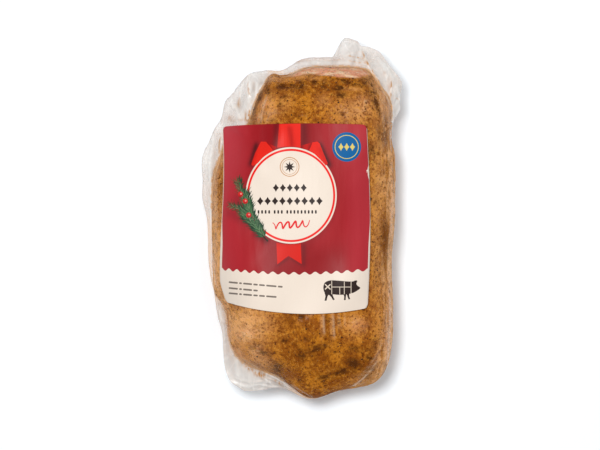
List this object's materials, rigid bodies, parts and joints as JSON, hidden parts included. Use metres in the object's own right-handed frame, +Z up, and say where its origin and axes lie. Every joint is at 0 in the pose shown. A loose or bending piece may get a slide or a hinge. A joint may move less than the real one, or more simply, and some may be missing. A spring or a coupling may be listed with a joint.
{
  "type": "glazed ham",
  "caption": "Small golden glazed ham sealed tight in a clear film bag with loose crumpled flaps, with a red and cream label on top, lying flat on its underside.",
  "frame": {"origin": "on the table, under the middle of the bag's box", "axes": "+Y along the ham to its square end, +X to the right of the label's print, +Z up out of the label"},
  "size_m": [0.1162, 0.21, 0.061],
  "materials": {
    "glazed_ham": "golden roasted glaze, mottled and peppered, wet under tight film",
    "film": "clear soft film, whitish where it is creased or doubled",
    "label_paper": "uncoated cream label paper",
    "label_red": "satin red print",
    "ribbon_red": "bright red print with satin shading",
    "badge_blue": "flat blue print",
    "print_dark": "flat dark brown print",
    "sprig_green": "dark green print"
  },
  "bodies": {
    "root": {"sealed_bag": "glazed_ham", "label": "label_paper"}
  },
  "joints": []
}
